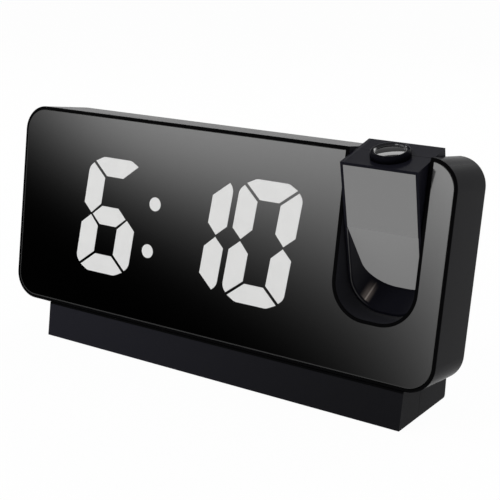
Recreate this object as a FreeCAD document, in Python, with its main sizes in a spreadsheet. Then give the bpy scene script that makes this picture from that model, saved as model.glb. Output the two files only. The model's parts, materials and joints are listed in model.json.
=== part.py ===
"""Projection alarm clock: a leaning mirror-faced body on a low foot, and a projector arm in a slot."""
import FreeCAD, Part
import math
import os
import re
import Sketcher
from FreeCAD import Placement, Rotation, Vector

# Driving dimensions, in millimetres and degrees

SIZES = {
    # whole body: x across, y into the depth, z up its leaning front
    "lean": 6.0,
    "body_wide": 186.0,
    "body_tall": 78.0,
    "body_deep": 26.0,
    "body_corner": 10.0,
    "wall": 2.2,
    "rim_wide": 1.1,
    "front_soft": 0.4,
    "back_soft": 1.0,
    "fit_gap": 0.1,
    "stop_over": 6.0,
    # slot that the projector arm swings in
    "slot_middle": 68.0,
    "slot_wide": 29.4,
    "slot_floor": 20.9,
    "slot_corner": 12.1,
    # mirror and display
    "mirror_thick": 2.0,
    "mirror_bevel": 0.25,
    "digit_tall": 45.2,
    "digit_wide": 26.2,
    "digit_corner": 4.6,
    "digit_shoulder": 6.4,
    "digit_round": 4.0,
    "digit_slant": 6.0,
    "bar_wide": 8.3,
    "bar_thick": 7.2,
    "segment_gap": 1.15,
    "window_gap": 0.08,
    "digit_middle": 39.5,
    "hours_high": 39.1,
    "tens_high": 39.6,
    "ones_high": 39.8,
    "hours_middle": -46.9,
    "ones_middle": 22.8,
    "digit_pitch": 28.7,
    "colon_across": -26.2,
    "colon_middle": 37.9,
    "colon_spread": 18.2,
    "colon_radius": 2.6,
    "guide_edge": 1.1,
    "guide_thick": 1.2,
    "colon_edge": 1.6,
    "frame_thick": 5.2,
    "frame_edge": 3.0,
    "board_thick": 1.6,
    "lamp_wide": 3.5,
    "lamp_tall": 2.8,
    "lamp_high": 1.0,
    # rear cover and its fixings
    "cover_thick": 2.0,
    "cover_sunk": 0.3,
    "cover_boss": 3.3,
    "cover_inset": 6.4,
    "cover_mid_across": -20.0,
    "screw_head": 2.4,
    "screw_head_thick": 1.0,
    "screw_shank": 1.0,
    "screw_long": 8.0,
    "screw_gap": 0.3,
    "thread_gap": 0.04,
    # main board behind the display
    "main_front": 15.0,
    "main_left": -86.0,
    "main_right": 46.0,
    "main_low": 12.0,
    "main_high": 66.0,
    "post_radius": 2.8,
    "post_inset": 4.0,
    "solder_gap": 0.1,
    # rear buttons
    "button_radius": 4.5,
    "button_gap": 0.15,
    "button_proud": 1.3,
    "button_first": -66.0,
    "button_pitch": 17.0,
    "button_high": 54.0,
    "button_travel": 0.6,
    "button_flange": 0.9,
    "button_flange_thick": 0.8,
    "button_stem": 1.5,
    "button_soft": 0.6,
    "switch_wide": 6.0,
    "switch_high": 3.4,
    "plunger_radius": 1.7,
    "plunger_high": 0.9,
    "press_gap": 0.3,
    # sounder, cell and sockets
    "buzzer_across": -22.0,
    "low_row": 27.0,
    "buzzer_radius": 6.5,
    "buzzer_high": 5.6,
    "sound_hole": 0.9,
    "grille_long": 13.0,
    "grille_slot": 1.4,
    "grille_pitch": 3.0,
    "cell_across": -58.0,
    "cell_radius": 10.0,
    "cell_thick": 3.2,
    "cell_floor": 2.6,
    "holder_wall": 1.4,
    "holder_gap": 0.15,
    "door_wide": 27.0,
    "door_corner": 3.0,
    "door_thick": 1.2,
    "door_gap": 0.2,
    "grip_wide": 9.0,
    "grip_deep": 0.5,
    "output_across": 8.0,
    "output_wide": 13.1,
    "output_tall": 5.7,
    "output_tongue_wide": 11.1,
    "output_tongue_thick": 1.9,
    "input_across": 30.0,
    "input_wide": 8.9,
    "input_tall": 3.2,
    "input_tongue_wide": 6.7,
    "input_tongue_thick": 0.7,
    "socket_wall": 0.35,
    "socket_floor": 0.8,
    "tongue_short": 1.2,
    "port_gap": 0.3,
    "chip_across": -37.5,
    "chip_wide": 12.0,
    "chip_high": 1.4,
    # foot
    "foot_tall": 13.6,
    "foot_deep": 38.35,
    "foot_left": 74.0,
    "foot_right": 83.0,
    "foot_wall": 2.0,
    "foot_roof": 2.2,
    "foot_seam": 15.5,
    "seam_gap": 0.12,
    "foot_soft": 1.0,
    "sole_thick": 2.0,
    "sole_gap": 0.25,
    "sole_post": 3.2,
    "sole_post_inset": 8.5,
    "pad_thick": 1.2,
    "pad_proud": 0.4,
    "pad_long": 118.0,
    "pad_wide": 6.0,
    "pad_spread": 17.0,
    "stand_boss": 3.0,
    "stand_boss_tall": 8.0,
    "stand_across": 46.0,
    "stand_front": 7.5,
    "stand_back": 19.5,
    # projector arm: turned about a pin near its middle
    "pivot_deep": 10.8,
    "pivot_high": 57.0,
    "arm_tilt": 21.07,
    "arm_wide": 28.0,
    "arm_deep": 21.6,
    "arm_top": 21.5,
    "arm_drop": 34.0,
    "arm_corner": 12.0,
    "arm_draft": 13.0,
    "arm_border": 0.9,
    "arm_wall": 2.0,
    "arm_seam": 11.8,
    "arm_soft": 0.6,
    "arm_mirror_thick": 1.0,
    "fold_drop": 2.1,
    "facet_angle": 24.5,
    "pin_radius": 3.5,
    "pin_bore": 2.0,
    "pin_gap": 0.05,
    "pin_inner": 9.6,
    "pin_over": 1.8,
    "boss_wide": 1.8,
    "boss_radius": 5.4,
    "washer_radius": 6.5,
    "washer_gap": 0.05,
    "clip_radius": 5.0,
    "clip_thick": 0.8,
    "clip_groove": 0.5,
    "arm_screw_across": 10.1,
    "arm_screw_high": 14.0,
    "arm_screw_low": -15.0,
    "arm_post": 2.45,
    "arm_post_start": -1.9,
    "arm_screw_long": 10.0,
    # optics
    "lens_axis": 9.0,
    "ring_radius": 6.9,
    "ring_proud": 2.5,
    "ring_gap": 0.1,
    "ring_soft": 0.5,
    "ring_bore": 4.9,
    "ring_lip": 1.1,
    "barrel_radius": 6.0,
    "barrel_long": 9.0,
    "barrel_gap": 0.08,
    "lens_radius": 5.2,
    "lens_gap": 0.05,
    "lens_edge": 1.4,
    "lens_rise": 0.8,
    "keeper_thick": 1.0,
    "keeper_bore": 4.2,
    "tube_radius": 7.4,
    "tube_long": 18.0,
    "film_shelf": 5.0,
    "film_up": 4.0,
    "film_thick": 0.6,
    "lamp_board_thick": 1.2,
    "lamp_radius": 2.2,
    "lamp_dome_high": 3.4,
}

doc = FreeCAD.newDocument("projection_clock")
sheet = doc.addObject("Spreadsheet::Sheet", "sizes")
for row, (alias, size) in enumerate(SIZES.items(), start=1):
    sheet.set("A%d" % row, alias)
    sheet.set("B%d" % row, str(size))
    sheet.setAlias("B%d" % row, alias)
gauge = doc.addObject("App::FeaturePython", "Gauge")
gauge.addProperty("App::PropertyFloat", "Reading")
doc.recompute()

# Formulas are written with the plain names of the sizes


def linked(formula):
    """The formula with each size's name pointed at its cell."""
    names = lambda word: "sizes." + word.group() if word.group() in SIZES else word.group()
    return re.sub(r"\b[a-z_]+\b", names, str(formula))


def number(formula):
    """The formula's present value, for placing a sketch near its solution."""
    gauge.setExpression("Reading", linked(formula))
    gauge.recompute()
    return gauge.Reading


def bind(thing, slot, formula):
    thing.setExpression(slot, linked(formula))


# Sketches and solids


class Outline:
    """A fully fixed sketch on one of a body's own planes, lifted along the plane's normal."""

    def __init__(self, body, role, lift="0", across="0", up="0"):
        self.sketch = body.newObject("Sketcher::SketchObject", "Outline")
        plane = [datum for datum in body.Origin.OriginFeatures if datum.Role == role][0]
        self.sketch.AttachmentSupport = [(plane, "")]
        self.sketch.MapMode = "FlatFace"
        bind(self.sketch, "AttachmentOffset.Base.x", across)
        bind(self.sketch, "AttachmentOffset.Base.y", up)
        bind(self.sketch, "AttachmentOffset.Base.z", lift)

    def size(self, kind, where, formula):
        spot = self.sketch.addConstraint(Sketcher.Constraint(kind, *where, number(formula)))
        bind(self.sketch, "Constraints[%d]" % spot, formula)

    def circle(self, across, up, radius):
        centre = Vector(number(across), number(up), 0)
        ring = self.sketch.addGeometry(Part.Circle(centre, Vector(0, 0, 1), number(radius)))
        self.size("DistanceX", (ring, 3), across)
        self.size("DistanceY", (ring, 3), up)
        self.size("Radius", (ring,), radius)

    def corners(self, points):
        """A closed outline of straight edges through (across, up) corners; a third value rounds one."""
        spots = [Vector(number(point[0]), number(point[1]), 0) for point in points]
        count = len(points)
        ways = [(spots[(i + 1) % count] - spots[i]).normalize() for i in range(count)]
        leaves, arrives, arcs = list(spots), list(spots), {}
        for i, point in enumerate(points):
            if len(point) < 3:
                continue
            before, after, radius = ways[i - 1], ways[i], number(point[2])
            turn = before.getAngle(after)
            reach = radius * math.tan(turn / 2)
            arrives[i] = spots[i] - before * reach
            leaves[i] = spots[i] + after * reach
            left = before.cross(after).z > 0
            inward = Vector(-before.y, before.x, 0) * (radius if left else -radius)
            centre = arrives[i] + inward
            first, last = (arrives[i], leaves[i]) if left else (leaves[i], arrives[i])
            angles = [math.atan2(end.y - centre.y, end.x - centre.x) for end in (first, last)]
            circle = Part.Circle(centre, Vector(0, 0, 1), radius)
            arcs[i] = (Part.ArcOfCircle(circle, *angles), left)
        edges = [Part.LineSegment(leaves[i], arrives[(i + 1) % count]) for i in range(count)]
        first_line = self.sketch.addGeometry(edges)[0]
        for i, point in enumerate(points):
            ends, starts = first_line + (i - 1) % count, first_line + i
            if i not in arcs:
                self.sketch.addConstraint(Sketcher.Constraint("Coincident", ends, 2, starts, 1))
                self.size("DistanceX", (starts, 1), point[0])
                self.size("DistanceY", (starts, 1), point[1])
                continue
            arc, left = self.sketch.addGeometry(arcs[i][0]), arcs[i][1]
            near, far = (1, 2) if left else (2, 1)
            mark = self.sketch.addGeometry(Part.Point(spots[i]), True)
            self.sketch.addConstraint([
                Sketcher.Constraint("Tangent", ends, 2, arc, near),
                Sketcher.Constraint("Tangent", arc, far, starts, 1),
                Sketcher.Constraint("PointOnObject", mark, 1, ends),
                Sketcher.Constraint("PointOnObject", mark, 1, starts),
            ])
            self.size("DistanceX", (mark, 1), point[0])
            self.size("DistanceY", (mark, 1), point[1])
            self.size("Radius", (arc,), point[2])


FRONT, TOP, SIDE = "XZ_Plane", "XY_Plane", "YZ_Plane"

# An edge this close to a plane lies in it; small repeated pieces have this many sides

TOUCH = 0.01
SHANK_SIDES = 6
POST_SIDES = 12


def new_body(name):
    return doc.addObject("PartDesign::Body", name)


def away(role, place):
    """A place along a plane's axis as a lift along its normal: the front plane's normal points forwards."""
    return "-(%s)" % place if role == FRONT else place


def extrude(body, outline, length, role):
    solid = body.newObject("PartDesign::Pad", "Pad")
    solid.Profile = outline.sketch
    solid.Reversed = role == FRONT
    bind(solid, "Length", length)
    return solid


def prism(name, role, points, start, length):
    """A body padded from a cornered outline, from start towards the plane's far side."""
    body = new_body(name)
    outline = Outline(body, role, away(role, start))
    outline.corners(points)
    extrude(body, outline, length, role)
    return body


def disc(name, role, across, up, radius, start, length):
    body = new_body(name)
    outline = Outline(body, role, away(role, start))
    outline.circle(across, up, radius)
    extrude(body, outline, length, role)
    return body


def faceted(name, role, across, up, radius, start, length, sides=POST_SIDES):
    """A small post, hole or screw part with flat sides in place of a round one."""
    turns = ["%d*360/%d*1deg" % (side, sides) for side in range(sides)]
    points = [("%s + (%s)*cos(%s)" % (across, radius, turn), "%s + (%s)*sin(%s)" % (up, radius, turn))
              for turn in turns]
    return prism(name, role, points, start, length)


def clear_hole(name, role, across, up, start, length):
    """The hole that a screw's shank passes through."""
    return faceted(name, role, across, up, "screw_shank + screw_gap", start, length)


def pilot(name, role, across, up, start, length):
    """The hole that a screw's shank cuts its thread in."""
    return faceted(name, role, across, up, "screw_shank + thread_gap", start, length, SHANK_SIDES)


def turned(name, role, points, across="0", place="0", about="V_Axis"):
    """A body of revolution about one of its sketch's own axes."""
    body = new_body(name)
    outline = Outline(body, role, away(role, place), across)
    outline.corners(points)
    spin = body.newObject("PartDesign::Revolution", "Revolution")
    spin.Profile = outline.sketch
    spin.ReferenceAxis = (outline.sketch, [about])
    spin.Angle = 360.0
    return body


def box_points(left, right, low, high, radius=None):
    corners = [(left, low), (right, low), (right, high), (left, high)]
    return corners if radius is None else [corner + (radius,) for corner in corners]


def middle_box(across, up, wide, tall, radius=None):
    left, right = "%s - (%s)/2" % (across, wide), "%s + (%s)/2" % (across, wide)
    low, high = "%s - (%s)/2" % (up, tall), "%s + (%s)/2" % (up, tall)
    return box_points(left, right, low, high, radius)


def dress(body, kind, size, wanted):
    """Rounds or bevels the edges of a body that the test picks."""
    doc.recompute()
    base = body.Tip
    names = ["Edge%d" % (i + 1) for i, edge in enumerate(base.Shape.Edges) if wanted(edge)]
    feature = body.newObject("PartDesign::" + kind, kind)
    feature.Base = (base, names)
    bind(feature, "Size" if kind == "Chamfer" else "Radius", size)
    return body


def edge_at(axis, place):
    """A test for edges that lie wholly in one plane across an axis."""
    low, high = axis.upper() + "Min", axis.upper() + "Max"
    spot = number(place)

    def flat(edge):
        box = edge.BoundBox
        return abs(getattr(box, low) - spot) < TOUCH and abs(getattr(box, high) - spot) < TOUCH

    return flat


def joined(name, *pieces):
    result = doc.addObject("Part::MultiFuse", name)
    result.Shapes = list(pieces)
    result.Refine = True
    return result


def group(name, pieces):
    result = doc.addObject("Part::Compound", name)
    result.Links = list(pieces)
    return result


def cut(name, base, *tools):
    result = doc.addObject("Part::Cut", name)
    result.Base = base
    result.Tool = tools[0] if len(tools) == 1 else joined(name + "_tools", *tools)
    return result


def common(name, *pieces):
    result = doc.addObject("Part::MultiCommon", name)
    result.Shapes = list(pieces)
    return result


# The three frames that pieces are drawn in

BODY_Y = "-foot_deep/2 + foot_tall*tan(lean*1deg)"
BODY_Z = "pad_proud + foot_tall"
ARM_Y = BODY_Y + " + pivot_deep*cos(lean*1deg) + pivot_high*sin(lean*1deg)"
ARM_Z = BODY_Z + " - pivot_deep*sin(lean*1deg) + pivot_high*cos(lean*1deg)"
FRAMES = {
    "foot": ("0", "0", "pad_proud", "0"),
    "body": ("0", BODY_Y, BODY_Z, "-lean"),
    "arm": ("slot_middle", ARM_Y, ARM_Z, "arm_tilt - lean"),
}
NODES = []


def keep(thing, label, frame):
    """Seats a finished piece in its frame, under its own name, for the files."""
    x, y, z, turn = FRAMES[frame]
    thing.Placement = Placement(Vector(0, 0, 0), Rotation(Vector(1, 0, 0), 1))
    bind(thing, "Placement.Base.x", x)
    bind(thing, "Placement.Base.y", y)
    bind(thing, "Placement.Base.z", z)
    bind(thing, "Placement.Rotation.Angle", turn)
    thing.Label = label
    NODES.append(thing)
    return thing


def screw(name, role, across, up, start, sign, long="screw_long"):
    """A pan-head screw: its head begins at start and its shank runs on by sign."""
    neck = "%s %s screw_head_thick" % (start, sign)
    end = "%s %s (%s)" % (neck, sign, long)
    head_start, shank_start = (start, neck) if sign == "+" else (neck, end)
    head = faceted(name + "_head", role, across, up, "screw_head", head_start, "screw_head_thick")
    shank = faceted(name + "_shank", role, across, up, "screw_shank", shank_start, long, SHANK_SIDES)
    return joined(name, head, shank)


# Main housing: a tub open at the back, with the arm's slot let into its top

SLOT_LEFT = "slot_middle - slot_wide/2"
SLOT_RIGHT = "slot_middle + slot_wide/2"
COVER_FACE = "body_deep - cover_sunk"
COVER_INNER = "body_deep - cover_sunk - cover_thick"


def body_box(inset):
    half, tall = "body_wide/2 - (%s)" % inset, "body_tall - (%s)" % inset
    return box_points("-(%s)" % half, half, inset, tall, "body_corner - (%s)" % inset)


def slot_shape(spread):
    """The arm's slot as a U open at the top, widened all round by spread."""
    left, right = "%s - (%s)" % (SLOT_LEFT, spread), "%s + (%s)" % (SLOT_RIGHT, spread)
    low, top, radius = "slot_floor - (%s)" % spread, "body_tall + stop_over", "slot_corner + %s" % spread
    return [(left, low, radius), (right, low, radius), (right, top), (left, top)]


def through(name, points):
    return prism(name, FRONT, points, "-stop_over", "body_deep + 2*stop_over")


def cover_places():
    far, low, high = "body_wide/2 - cover_inset", "cover_inset", "body_tall - cover_inset"
    edge = "wall + cover_boss - front_soft"
    return [
        ("-(%s)" % far, low), (far, low), ("-(%s)" % far, high),
        ("(%s + body_wide/2)/2" % SLOT_RIGHT, "body_tall - body_corner"),
        ("cover_mid_across", edge), ("cover_mid_across", "body_tall - (%s)" % edge),
    ]


STAND_PLACES = [(side + "stand_across", deep)
                for side in ("", "-") for deep in ("stand_front", "stand_back")]


def make_housing():
    block = prism("housing_block", FRONT, body_box("0"), "0", "body_deep")
    dress(block, "Chamfer", "front_soft", edge_at("y", "0"))
    dress(block, "Chamfer", "back_soft", edge_at("y", "body_deep"))
    slot_wall = through("slot_wall", slot_shape("wall"))
    hollow = cut("housing_hollow", through("housing_inside", body_box("wall")), slot_wall)
    seat_deep = "mirror_thick + stop_over"
    seat_block = prism("mirror_seat_block", FRONT, body_box("rim_wide"), "-stop_over", seat_deep)
    seat = cut("mirror_seat", seat_block, through("mirror_seat_slot", slot_shape("rim_wide")))
    bores = disc("pivot_bores", SIDE, "pivot_deep", "pivot_high", "pin_radius + pin_gap",
                 SLOT_LEFT + " - stop_over/2", "slot_wide + stop_over")
    tub = cut("housing_tub", block, hollow, seat, through("arm_slot", slot_shape("0")), bores)
    bosses, pilots = [], []
    long, start = COVER_INNER + " - mirror_thick - fit_gap", "mirror_thick + fit_gap"
    for across, up in cover_places():
        bosses.append(faceted("cover_boss", FRONT, across, up, "cover_boss", start, long))
        bore_start = COVER_INNER + " - screw_long"
        pilots.append(pilot("cover_pilot", FRONT, across, up, bore_start, "2*screw_long"))
    for across, deep in STAND_PLACES:
        bosses.append(faceted("stand_boss", TOP, across, deep, "stand_boss", "wall/2", "stand_boss_tall"))
        pilots.append(pilot("stand_pilot", TOP, across, deep, "-stop_over", "stop_over + stand_boss_tall"))
    keep_in = prism("housing_limit", FRONT, body_box("rim_wide"), "0", "body_deep")
    inside = common("housing_bosses", joined("boss_group", *bosses), keep_in)
    return keep(cut("housing", joined("housing_solid", tub, inside), *pilots), "front_housing", "body")


# Display: digits of raised light guides that stand in windows of the mirror


def segment(letter, grow):
    """One bar of a seven-bar digit about its middle, as (across, up) corners with the outer ones rounded."""
    half, rise = "(digit_wide/2 + %s)" % grow, "(digit_tall/2 + %s)" % grow
    wide, thick = "(bar_wide + 2*%s)" % grow, "(bar_thick + 2*%s)" % grow
    slip = "((segment_gap - 2*%s)/sqrt(2))" % grow
    if letter == "middle":
        inner, tip = "%s - %s - %s" % (half, wide, slip), "%s - %s/2 - %s" % (half, wide, slip)
        top = thick + "/2"
        return [("-(%s)" % tip, "0"), ("-(%s)" % inner, "-" + top), (inner, "-" + top),
                (tip, "0"), (inner, top), ("-(%s)" % inner, top)]
    if letter in ("top", "bottom"):
        sign = "" if letter == "top" else "-"
        outer, tip = "%s - digit_shoulder" % half, "%s - digit_corner/2 - %s/2" % (half, slip)
        tip_up, inner = "%s - digit_corner/2 + %s/2" % (rise, slip), "%s - %s - %s" % (half, wide, slip)
        right = [(outer, rise, "digit_round"), (tip, tip_up), (inner, "%s - %s" % (rise, thick))]
        left = [("-(%s)" % point[0],) + point[1:] for point in reversed(right)]
        return [(point[0], "%s(%s)" % (sign, point[1])) + point[2:] for point in right + left]
    side, level = letter.split("_")
    across_sign, up_sign = ("-" if side == "left" else ""), ("-" if level == "low" else "")
    inside, centre = "%s - %s" % (half, wide), "%s - %s/2" % (half, wide)
    upper = [
        (half, "%s - digit_corner" % rise, "digit_round"),
        ("%s - digit_corner/2 + %s/2" % (half, slip), "%s - digit_corner/2 - %s/2" % (rise, slip)),
        (inside, "%s - %s - %s" % (rise, thick, slip)),
        (inside, "%s/2 + %s" % (thick, slip)),
        (centre, "%s/2" % slip),
        (half, "%s/2 + %s/2" % (thick, slip)),
    ]
    return [("%s(%s)" % (across_sign, p[0]), "%s(%s)" % (up_sign, p[1])) + p[2:] for p in upper]


SIX = ["top", "left_high", "middle", "left_low", "right_low", "bottom"]
ONE = ["right_high", "right_low"]
ZERO = ["top", "left_high", "right_high", "left_low", "right_low", "bottom"]
DIGITS = {
    "digit_hours": ("hours_middle", "hours_high", SIX),
    "digit_minute_tens": ("ones_middle - digit_pitch", "tens_high", ONE),
    "digit_minute_ones": ("ones_middle", "ones_high", ZERO),
}
GUIDE_BACK = "mirror_thick + fit_gap + guide_thick"


def slanted(points, across, up):
    lean_over = "%s + (%s) + (%s)*tan(digit_slant*1deg)"
    return [(lean_over % (across, p[0], p[1]), "%s + (%s)" % (up, p[1])) + p[2:] for p in points]


def bars(name, digit, grow, start, length):
    across, up, letters = digit
    return [prism("%s_%s" % (name, letter), FRONT, slanted(segment(letter, grow), across, up), start, length)
            for letter in letters]


def colon_dots(name, radius, start, length):
    dots = []
    for sign in ("+", "-"):
        up = "colon_middle %s colon_spread/2" % sign
        across = "colon_across %s (colon_spread/2)*tan(digit_slant*1deg)" % sign
        dots.append(disc(name, FRONT, across, up, radius, start, length))
    return dots


def make_mirror():
    inset = "rim_wide + fit_gap"
    block = prism("mirror_block", FRONT, body_box(inset), "0", "mirror_thick")
    dress(block, "Chamfer", "mirror_bevel", edge_at("y", "0"))
    windows = [through("mirror_slot", slot_shape(inset))]
    deep = "mirror_thick + 2*stop_over"
    for name, digit in DIGITS.items():
        windows += bars(name + "_window", digit, "window_gap", "-stop_over", deep)
    windows += colon_dots("colon_window", "colon_radius + window_gap", "-stop_over", deep)
    return keep(cut("mirror", block, *windows), "mirror_panel", "body")


def guide_box(digit, edge):
    """The slanting outline round a whole digit."""
    reach = "2*(%s)" % edge
    outline = middle_box("0", "0", "digit_wide + " + reach, "digit_tall + " + reach)
    return slanted(outline, digit[0], digit[1])


def colon_box(edge):
    reach = "2*colon_radius + 2*(%s)" % edge
    return slanted(middle_box("0", "0", reach, "colon_spread + " + reach), "colon_across", "colon_middle")


def make_digits():
    start = "mirror_thick + fit_gap"
    for name, digit in DIGITS.items():
        raised = bars(name, digit, "0", "0", GUIDE_BACK)
        plate = prism(name + "_plate", FRONT, guide_box(digit, "guide_edge"), start, "guide_thick")
        keep(joined(name + "_solid", plate, *raised), name, "body")
    plate = prism("colon_plate", FRONT, colon_box("colon_edge"), start, "guide_thick")
    dots = colon_dots("colon_dot", "colon_radius", "0", GUIDE_BACK)
    keep(joined("colon_solid", plate, *dots), "colon_dots", "body")


FRAME_FRONT = GUIDE_BACK + " + fit_gap"
BOARD_FRONT = FRAME_FRONT + " + frame_thick + fit_gap"
FRAME_LEFT = "hours_middle - digit_wide/2 - 4*frame_edge"
FRAME_RIGHT = "ones_middle + digit_wide/2 + 3*frame_edge"
FRAME_LOW = "digit_middle - digit_tall/2 - 2*frame_edge"
FRAME_HIGH = "digit_middle + digit_tall/2 + 2*frame_edge"
FRAME_SCREWS = [(a, u) for a in (FRAME_LEFT + " + frame_edge", FRAME_RIGHT + " - frame_edge")
                for u in (FRAME_LOW + " + frame_edge", FRAME_HIGH + " - frame_edge")]
SPOT_ACROSS, SPOT_UP = "(digit_wide - bar_wide)/2", "(digit_tall - bar_thick)/2"
SEGMENT_SPOTS = {
    "top": ("0", SPOT_UP),
    "middle": ("0", "0"),
    "bottom": ("0", "-" + SPOT_UP),
    "left_high": ("-" + SPOT_ACROSS, "digit_tall/4"),
    "left_low": ("-" + SPOT_ACROSS, "-digit_tall/4"),
    "right_high": (SPOT_ACROSS, "digit_tall/4"),
    "right_low": (SPOT_ACROSS, "-digit_tall/4"),
}


def make_display_back():
    outer = box_points(FRAME_LEFT, FRAME_RIGHT, FRAME_LOW, FRAME_HIGH, "frame_edge")
    block = prism("frame_block", FRONT, outer, FRAME_FRONT, "frame_thick")
    cells = [prism("frame_cell", FRONT, guide_box(digit, "guide_edge/2"), "0", "body_deep")
             for digit in DIGITS.values()]
    cells.append(prism("colon_cell", FRONT, colon_box("colon_edge/2"), "0", "body_deep"))
    pilots = [pilot("frame_pilot", FRONT, a, u, "0", "body_deep") for a, u in FRAME_SCREWS]
    keep(cut("frame", block, *cells, *pilots), "light_frame", "body")
    board = prism("display_board_block", FRONT, outer, BOARD_FRONT, "board_thick")
    holes = [clear_hole("board_hole", FRONT, a, u, "0", "body_deep") for a, u in FRAME_SCREWS]
    keep(cut("display_board_cut", board, *holes), "display_board", "body")
    head = BOARD_FRONT + " + board_thick + screw_head_thick + fit_gap"
    screws = [screw("display_screw", FRONT, a, u, head, "-", "frame_thick") for a, u in FRAME_SCREWS]
    keep(group("display_screw_group", screws), "display_board_screws", "body")
    spots = []
    for across, up, letters in DIGITS.values():
        spots += slanted([SEGMENT_SPOTS[letter] for letter in letters], across, up)
    spots += slanted([("0", "colon_spread/2"), ("0", "-colon_spread/2")], "colon_across", "colon_middle")
    lamp_start = BOARD_FRONT + " - lamp_high"
    lamps = [prism("lamp", FRONT, middle_box(*spot, "lamp_wide", "lamp_tall"), lamp_start, "lamp_high")
             for spot in spots]
    keep(group("lamp_group", lamps), "display_lamps", "body")


# Rear cover with buttons, sockets, sounder grille and cell door

BUTTONS = ["set_button", "up_button", "down_button", "alarm_button", "light_button"]
MAIN_BACK = "main_front + board_thick"
MAIN_POSTS = [(a, u) for a in ("main_left + post_inset", "main_right - post_inset")
              for u in ("main_low + post_inset", "main_high - post_inset")]
ON_BOARD = MAIN_BACK + " + solder_gap"
SINK_RADIUS = "screw_head + screw_gap/2"
PORTS = [("output_across", "output_wide", "output_tall"), ("input_across", "input_wide", "input_tall")]


def button_across(place):
    return "button_first + %d*button_pitch" % place


def make_cover():
    inset = "wall + fit_gap"
    plate = prism("cover_block", FRONT, body_box(inset), COVER_INNER, "cover_thick")
    post_long = COVER_INNER + " - (%s) - fit_gap + cover_thick/2" % MAIN_BACK
    posts = [faceted("main_post", FRONT, a, u, "post_radius", MAIN_BACK + " + fit_gap", post_long)
             for a, u in MAIN_POSTS]
    cuts = [through("cover_slot", slot_shape(inset))]
    head_floor = COVER_FACE + " - screw_head_thick"
    for across, up in cover_places():
        cuts.append(clear_hole("cover_hole", FRONT, across, up, "0", "2*body_deep"))
        cuts.append(disc("cover_sink", FRONT, across, up, SINK_RADIUS, head_floor, "stop_over"))
    for a, u in MAIN_POSTS:
        cuts.append(pilot("post_pilot", FRONT, a, u, "0", COVER_INNER))
    radius, all_deep = "button_radius + button_gap", "2*body_deep"
    for place in range(len(BUTTONS)):
        cuts.append(disc("button_hole", FRONT, button_across(place), "button_high", radius, "0", all_deep))
    for row in range(-2, 3):
        up = "low_row + %d*grille_pitch" % row
        slot = middle_box("buzzer_across", up, "grille_long", "grille_slot")
        cuts.append(prism("grille_slot", FRONT, slot, COVER_INNER + " - fit_gap", "2*cover_thick"))
    door = middle_box("cell_across", "low_row", "door_wide", "door_wide", "door_corner")
    cuts.append(prism("door_seat", FRONT, door, COVER_FACE + " - door_thick", "stop_over"))
    way = "cell_radius + 2*holder_gap"
    cuts.append(disc("cell_way", FRONT, "cell_across", "low_row", way, "0", all_deep))
    for across, wide, tall in PORTS:
        sizes = (wide + " + 2*port_gap", tall + " + 2*port_gap", "port_gap + socket_wall")
        port = middle_box(across, "low_row", *sizes)
        cuts.append(prism("port", FRONT, port, COVER_INNER + " - fit_gap", "2*cover_thick"))
    keep(cut("cover", joined("cover_solid", plate, *posts), *cuts), "rear_cover", "body")
    screws = [screw("cover_screw", FRONT, a, u, COVER_FACE, "-") for a, u in cover_places()]
    keep(group("cover_screw_group", screws), "cover_screws", "body")


def make_door():
    wide = "door_wide - 2*door_gap"
    points = middle_box("cell_across", "low_row", wide, wide, "door_corner - door_gap")
    start = COVER_FACE + " - door_thick + fit_gap"
    plate = prism("door_block", FRONT, points, start, "door_thick - fit_gap")
    dress(plate, "Chamfer", "mirror_bevel", edge_at("y", COVER_FACE))
    grips = []
    for line in range(3):
        up = "low_row + door_wide/2 - %d*grille_slot - door_corner" % (2 * line)
        grip = middle_box("cell_across", up, "grip_wide", "grille_slot/2")
        grips.append(prism("door_grip", FRONT, grip, COVER_FACE + " - grip_deep", "stop_over"))
    keep(cut("door", plate, *grips), "cell_door", "body")


def make_main_board():
    points = box_points("main_left", "main_right", "main_low", "main_high")
    board = prism("main_block", FRONT, points, "main_front", "board_thick")
    holes = [clear_hole("main_hole", FRONT, a, u, "0", "body_deep") for a, u in MAIN_POSTS]
    keep(cut("main_cut", board, *holes), "main_board", "body")
    head = "main_front - screw_head_thick - fit_gap"
    screws = [screw("main_screw", FRONT, a, u, head, "+", "screw_long/2 + fit_gap") for a, u in MAIN_POSTS]
    keep(group("main_screw_group", screws), "main_board_screws", "body")
    switches = []
    for place in range(len(BUTTONS)):
        case = middle_box(button_across(place), "button_high", "switch_wide", "switch_wide")
        block = prism("switch_case", FRONT, case, ON_BOARD, "switch_high")
        plunger = faceted("switch_plunger", FRONT, button_across(place), "button_high", "plunger_radius",
                          ON_BOARD + " + switch_high/2", "switch_high/2 + plunger_high")
        switches.append(joined("switch", block, plunger))
    keep(group("switch_group", switches), "key_switches", "body")
    chip = middle_box("chip_across", "low_row", "chip_wide", "chip_wide")
    keep(prism("chip", FRONT, chip, ON_BOARD, "chip_high"), "control_chip", "body")
    sounder = [("0", ON_BOARD), ("buzzer_radius", ON_BOARD),
               ("buzzer_radius", ON_BOARD + " + buzzer_high"), ("sound_hole", ON_BOARD + " + buzzer_high"),
               ("sound_hole", ON_BOARD + " + buzzer_high/2"), ("0", ON_BOARD + " + buzzer_high/2")]
    keep(turned("sounder", TOP, sounder, "buzzer_across", "low_row"), "buzzer", "body")


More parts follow.
